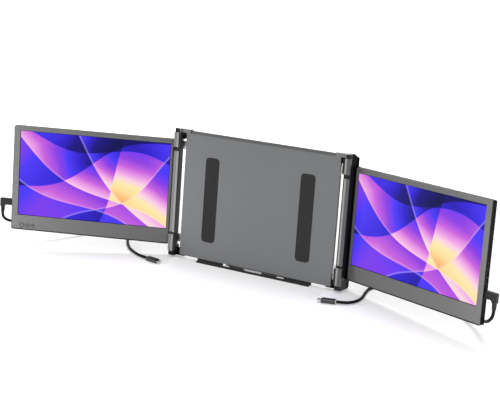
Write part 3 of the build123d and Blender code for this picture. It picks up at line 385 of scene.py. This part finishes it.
for side, (sign, along, out, hinge) in screens.items():
    last_edge = display_inner + display_width if sign > 0 else display_inner
    corner = hinge + along * (sign * last_edge) + bracket_up * display_bottom
    picture = bpy.data.materials.new(side + "_picture")
    picture.use_nodes = True
    tree = picture.node_tree
    spread = placed(
        tree, "ShaderNodeMapping",
        {
            "Vector": tree.nodes.new("ShaderNodeTexCoord").outputs["Object"],
            "Location": corner,
            "Rotation": Matrix((along, bracket_up, out)).transposed().to_euler(),
            "Scale": (-display_height, display_height, 1),
        },
        vector_type="TEXTURE",
    ).outputs["Vector"]
    layers, shine = picture_ground, 0.0
    for turn, height, swing_by, waves, shift, width, weight in silk_folds:
        layer = placed(
            tree, "ShaderNodeGroup",
            {
                "Vector": spread, "Turn": -math.radians(turn), "Height": height, "Swing": swing_by,
                "Waves": waves, "Shift": shift, "Width": width, "Weight": weight,
            },
            node_tree=fold,
        ).outputs
        layers = reckon(tree, "ADD", layers, layer["Value"])
        if weight > 0:
            shine = reckon(tree, "MAXIMUM", shine, layer["Edge"])
    shade = placed(tree, "ShaderNodeMapRange", {"Value": layers, "From Min": darkest, "From Max": brightest})
    bands = placed(tree, "ShaderNodeValToRGB", {"Fac": shade.outputs["Result"]})
    stops = bands.color_ramp.elements
    while len(stops) < len(silk_colours):
        stops.new(0.5)
    for stop, (where, color) in zip(stops, silk_colours):
        stop.position = (where - darkest) / (brightest - darkest)
        stop.color = (*color, 1)
    lit = placed(
        tree, "ShaderNodeMix",
        {
            "Factor": reckon(tree, "MULTIPLY", shine, edge_glow),
            "A": bands.outputs["Color"], "B": (1.0, 0.8, 0.95, 1),
        },
        data_type="RGBA",
    )
    centred = placed(
        tree, "ShaderNodeMapping",
        {"Vector": spread, "Location": (display_width / display_height / 2, 0.5, 0)}, vector_type="TEXTURE",
    )
    lit_half_width = (display_width / 2 - black_border) / display_height
    lit_half_height = 0.5 - black_border / display_height
    bordered = placed(
        tree, "ShaderNodeGroup",
        {
            "Vector": centred.outputs["Vector"], "Limit": (lit_half_width, lit_half_height, no_limit),
            "Color": lit.outputs["Result"], "Rim": (0, 0, 0, 1),
        },
        node_tree=rim,
    )
    glass = tree.nodes["Principled BSDF"].inputs
    glass["Base Color"].default_value = (0.004, 0.004, 0.005, 1)
    glass["Roughness"].default_value = 0.2
    glass["Specular IOR Level"].default_value = 0.05
    glass["Emission Strength"].default_value = 1.0
    feed(tree, glass["Emission Color"], bordered.outputs["Color"])
    dress(picture, side + "_lcd_panel")


# Keys: three round caps of the frame's own plastic, set in the left frame's lower corner over
# small dome switches. A plain mark is printed on each in dark ink.
def finished(name, shape, coat):
    """The piece that a shape makes, with its coat, put into the scene."""
    mesh = bpy.data.meshes.new(name)
    shape.to_mesh(mesh)
    shape.free()
    mesh.materials.append(coat)
    piece = bpy.data.objects.new(name, mesh)
    bpy.context.scene.collection.objects.link(piece)
    return piece


ink = moulded("dark_ink", (0.035, 0.035, 0.036), 0.5, depth=0.02)
key_front = 0.0083
key_height = 0.026
ink_half_width, ink_thickness = 0.0004, 0.00004
bar_length, bar_middle = 0.0028, 0.002
ring_opening, ring_steps = math.radians(50), 36
sign, along, out, hinge = screens["left"]
for key, from_edge, ring in (("power", 0.0193, 0.0032), ("up", 0.0295, 0.0021), ("down", 0.0389, 0.0021)):
    dress(frame_grey, key + "_button")
    mark = bmesh.new()
    corners = [
        mark.verts.new((ring + side * ink_half_width, 0, level * ink_thickness))
        for side, level in ((-1, 0), (1, 0), (1, 1), (-1, 1))
    ]
    section = mark.faces.new(corners)
    opening = ring_opening if key == "power" else 0.0
    bmesh.ops.rotate(mark, verts=corners, matrix=Matrix.Rotation(math.radians(90) + opening / 2, 3, "Z"))
    bmesh.ops.spin(
        mark, geom=[section, *section.edges, *corners], axis=(0, 0, 1), cent=(0, 0, 0),
        angle=2 * math.pi - opening, steps=ring_steps, use_merge=key != "power",
    )
    if key == "power":
        bar = bmesh.ops.create_cube(mark, size=1)["verts"]
        bmesh.ops.scale(mark, verts=bar, vec=(2 * ink_half_width, bar_length, ink_thickness))
        bmesh.ops.translate(mark, verts=bar, vec=(0, bar_middle, ink_thickness / 2))
    bmesh.ops.remove_doubles(mark, verts=mark.verts, dist=1e-7)
    bmesh.ops.recalc_face_normals(mark, faces=mark.faces)
    centre = hinge + along * (sign * (screen_outer - from_edge)) + bracket_up * key_height + out * key_front
    stand_on = Matrix((along, bracket_up, out)).transposed().to_4x4()
    bmesh.ops.transform(mark, verts=mark.verts, matrix=Matrix.Translation(centre) @ stand_on)
    print_piece = finished(key + "_mark", mark, ink)
    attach(print_piece, key + "_key")

# Plugs: dark grey bodies moulded on both ends of each lead, with bright pressed shells for tips. The
# straight ones are smooth and shine on top, the angled ones have a duller skin.
plug_skin = moulded("plug_skin", (0.011, 0.011, 0.012), 0.4, depth=0.06, gloss=0.25)
smooth_plug = moulded("smooth_plug", (0.011, 0.011, 0.012), 0.15, depth=0.02, gloss=0.8)
tin = moulded("tinned_shell", (0.62, 0.62, 0.64), 0.28, metallic=1.0, depth=0.02)
for side in ("left", "right"):
    dress(plug_skin, side + "_angled_plug")
    dress(smooth_plug, side + "_straight_plug")
    dress(tin, side + "_plug_tip", side + "_port_shells")

# Strain reliefs: ribs moulded round the neck of each angled plug, where the lead's route starts, and
# a pale collar pressed over the neck of each straight plug, where it ends.
routes = {
    "left": [
        (-0.44684, -0.10833, 0.06683), (-0.44684, -0.10927, 0.06090), (-0.44460, -0.10788, 0.05481),
        (-0.44023, -0.10251, 0.04951), (-0.43306, -0.09207, 0.04583), (-0.42364, -0.07579, 0.04092),
        (-0.41154, -0.05507, 0.03187), (-0.392, -0.034, 0.019), (-0.376, -0.008, 0.009),
        (-0.358, 0.020, 0.004), (-0.338, 0.046, 0.0027), (-0.313, 0.057, 0.0027), (-0.292, 0.049, 0.0027),
        (-0.279, 0.029, 0.0027), (-0.262, 0.0065, 0.0027), (-0.246, -0.009, 0.0027),
        (-0.229, -0.020, 0.0029), (-0.207, -0.0313, 0.0038), (-0.190, -0.034, 0.0038),
    ],
    "right": [
        (0.45552, -0.07775, 0.06198), (0.45552, -0.07877, 0.05556), (0.45264, -0.07756, 0.04829),
        (0.44689, -0.07246, 0.04130), (0.43895, -0.06309, 0.03435), (0.42879, -0.04785, 0.02870),
        (0.41606, -0.02803, 0.02222), (0.386, 0.0, 0.0165), (0.362, 0.023, 0.0065), (0.334, 0.044, 0.0029),
        (0.300, 0.060, 0.0027), (0.264, 0.067, 0.0027), (0.236, 0.066, 0.0027), (0.214, 0.056, 0.0027),
        (0.2015, 0.038, 0.0027), (0.204, 0.018, 0.0027), (0.2083, 0.002, 0.0027), (0.2105, -0.014, 0.0028),
        (0.207, -0.028, 0.0034), (0.198, -0.0385, 0.0038), (0.184, -0.0415, 0.0038),
    ],
}
rib_count, first_rib, rib_pitch, rib_width, rib_height = 5, 0.0008, 0.0016, 0.0008, 0.0005
rib_foot, foot_growth = 0.00266, 0.00012
neck_steps = 32
rib_sections = [
    (first_rib + rib_pitch * step, rib_foot + foot_growth * step, rib_width, rib_height)
    for step in range(rib_count)
]
collar_middle, collar_foot, collar_width, collar_height = 0.0009, 0.0026, 0.0018, 0.0008
collar_sections = [(collar_middle, collar_foot, collar_width, collar_height)]
collar_grey = moulded("collar_grey", (0.7, 0.7, 0.7), 0.35, depth=0.03)
for name, neck, into, sections, coat, body in (
    ("left_relief_ribs", routes["left"][0], bracket_up, rib_sections, plug_skin, "left_screen"),
    ("right_relief_ribs", routes["right"][0], bracket_up, rib_sections, plug_skin, "right_screen"),
    ("left_plug_collar", routes["left"][-1], side_axis, collar_sections, collar_grey, "left_arm"),
    ("right_plug_collar", routes["right"][-1], -side_axis, collar_sections, collar_grey, "right_arm"),
):
    rings = bmesh.new()
    for offset, foot, width, height in sections:
        corners = [
            rings.verts.new((radius, 0, offset + half * width / 2))
            for radius, half in ((foot, -1), (foot + height, -1), (foot + height, 1), (foot, 1))
        ]
        sides = [rings.edges.new((corners[step - 1], corners[step])) for step in range(len(corners))]
        bmesh.ops.spin(
            rings, geom=corners + sides, axis=(0, 0, 1), cent=(0, 0, 0), angle=2 * math.pi,
            steps=neck_steps, use_merge=True,
        )
    bmesh.ops.remove_doubles(rings, verts=rings.verts, dist=1e-6)
    bmesh.ops.recalc_face_normals(rings, faces=rings.faces)
    stand_on = into.to_track_quat("Z", "Y").to_matrix().to_4x4()
    bmesh.ops.transform(rings, verts=rings.verts, matrix=Matrix.Translation(neck) @ stand_on)
    ring_piece = finished(name, rings, coat)
    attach(ring_piece, body)

# Leads: thin black flexible cables, one from each screen. Each leaves its angled plug downward, falls
# behind the screen to the table and comes forward again under the screen to a straight plug.
jacket = moulded("cable_jacket", (0.004, 0.004, 0.0045), 0.4, scale=2600, depth=0.03, gloss=0.08)
lead_radius = 0.00245
for side, length in (("left", 0.3929), ("right", 0.4342)):
    route = routes[side]
    line = bpy.data.curves.new(side + "_lead_line", "CURVE")
    line.dimensions = "3D"
    spline = line.splines.new("NURBS")
    spline.points.add(len(route) - 1)
    for point, place in zip(spline.points, route):
        point.co = (*place, 1)
    spline.order_u = 3
    spline.use_endpoint_u = True
    spline.resolution_u = 10
    carrier = bpy.data.objects.new(side + "_lead_line", line)
    bpy.context.scene.collection.objects.link(carrier)
    bpy.context.view_layer.update()
    thread = bpy.data.meshes.new_from_object(carrier)
    line.bevel_depth = lead_radius
    line.bevel_resolution = 5
    line.use_fill_caps = True
    bpy.context.view_layer.update()
    tube = bpy.data.meshes.new_from_object(carrier.evaluated_get(bpy.context.evaluated_depsgraph_get()))
    bpy.data.objects.remove(carrier)
    tube.materials.clear()
    tube.materials.append(jacket)
    for polygon in tube.polygons:
        polygon.use_smooth = True
    lead = bpy.data.objects.new(side + "_lead", tube)
    bpy.context.scene.collection.objects.link(lead)
    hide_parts(side + "_cable")
    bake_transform(lead)


# Table top: a plain white sheet that keeps the soft shadows close to the object and brightens to
# plain white further out.
def seen_directly(tree):
    """One for rays to the camera, mirrors and glass, and nothing for rays that light the object."""
    rays = tree.nodes.new("ShaderNodeLightPath").outputs
    mirrored = reckon(tree, "MAXIMUM", rays["Is Glossy Ray"], rays["Is Transmission Ray"])
    return reckon(tree, "MAXIMUM", rays["Is Camera Ray"], mirrored)


table_half = 6
shaded_reach, white_reach = 0.46, 1.0
white = bpy.data.materials.new("table_white")
white.use_nodes = True
tree = white.node_tree
sheet = tree.nodes["Principled BSDF"].inputs
sheet["Base Color"].default_value = (0.86, 0.86, 0.86, 1)
sheet["Roughness"].default_value = 0.9
sheet["Specular IOR Level"].default_value = 0.0
sheet["Emission Color"].default_value = (1, 1, 1, 1)
place = tree.nodes.new("ShaderNodeTexCoord").outputs["Object"]
reach = placed(tree, "ShaderNodeVectorMath", {0: place}, operation="LENGTH").outputs["Value"]
fade = placed(
    tree, "ShaderNodeMapRange",
    {"Value": reach, "From Min": shaded_reach, "From Max": white_reach, "To Min": 0.24, "To Max": 1.0},
    interpolation_type="SMOOTHSTEP",
)
lift = reckon(tree, "MULTIPLY", seen_directly(tree), fade.outputs["Result"])
feed(tree, sheet["Emission Strength"], lift)
table = bmesh.new()
bmesh.ops.create_grid(table, x_segments=1, y_segments=1, size=table_half)
finished("table_top", table, white)

# Studio: an even white surround and four soft lamps. One is overhead, one behind draws the shadows
# forward, and a small one on each side lights the screens' outer ends.
world = bpy.data.worlds.new("surround")
bpy.context.scene.world = world
world.use_nodes = True
tree = world.node_tree
glow = tree.nodes["Background"].inputs
glow["Color"].default_value = (1, 1, 1, 1)
strength = placed(tree, "ShaderNodeMapRange", {"Value": seen_directly(tree), "To Min": 0.16, "To Max": 1.0})
feed(tree, glow["Strength"], strength.outputs["Result"])
for name, place, target, size, power in (
    ("overhead_lamp", (0.1, -0.2, 2.2), (0.0, 0.0, 0.1), 2.2, 22),
    ("back_lamp", (0.0, 1.0, 2.2), (0.0, -0.03, 0.0), 0.9, 30),
    ("left_lamp", (-0.64, -0.42, 0.13), (-0.42, -0.1, 0.1), 0.25, 3.0),
    ("right_lamp", (0.67, -0.42, 0.13), (0.45, -0.05, 0.1), 0.25, 2.5),
):
    lamp = bpy.data.objects.new(name, bpy.data.lights.new(name, "AREA"))
    bpy.context.scene.collection.objects.link(lamp)
    lamp.data.size = size
    lamp.data.energy = power
    lamp.visible_camera = False
    lamp.visible_glossy = name == "overhead_lamp"
    lamp.location = place
    lamp.rotation_euler = (Vector(target) - Vector(place)).to_track_quat("-Z", "Y").to_euler()

# Camera at the photograph's place: above the right-hand screen, looking left and a little down
# over the whole row of panels, with a long lens.
camera = bpy.data.objects.new("camera", bpy.data.cameras.new("camera"))
bpy.context.scene.collection.objects.link(camera)
eye = Vector((1.04739, -1.66668, 0.77891))
azimuth, elevation, roll = math.radians(32.16), math.radians(18.54), math.radians(-0.76)
look = Vector((
    -math.sin(azimuth) * math.cos(elevation),
    math.cos(azimuth) * math.cos(elevation),
    -math.sin(elevation),
))
level = Vector((math.cos(azimuth), math.sin(azimuth), 0))
rise = level.cross(look)
across = level * math.cos(roll) + rise * math.sin(roll)
up = rise * math.cos(roll) - level * math.sin(roll)
facing = Matrix((across, up, -look)).transposed().to_4x4()
camera.matrix_world = Matrix.Translation(eye) @ facing
camera.data.lens = 91.24
camera.data.sensor_width = 36
camera.data.sensor_fit = "HORIZONTAL"
camera.data.clip_end = 50
bpy.context.scene.camera = camera
bpy.context.scene.view_settings.view_transform = "Standard"
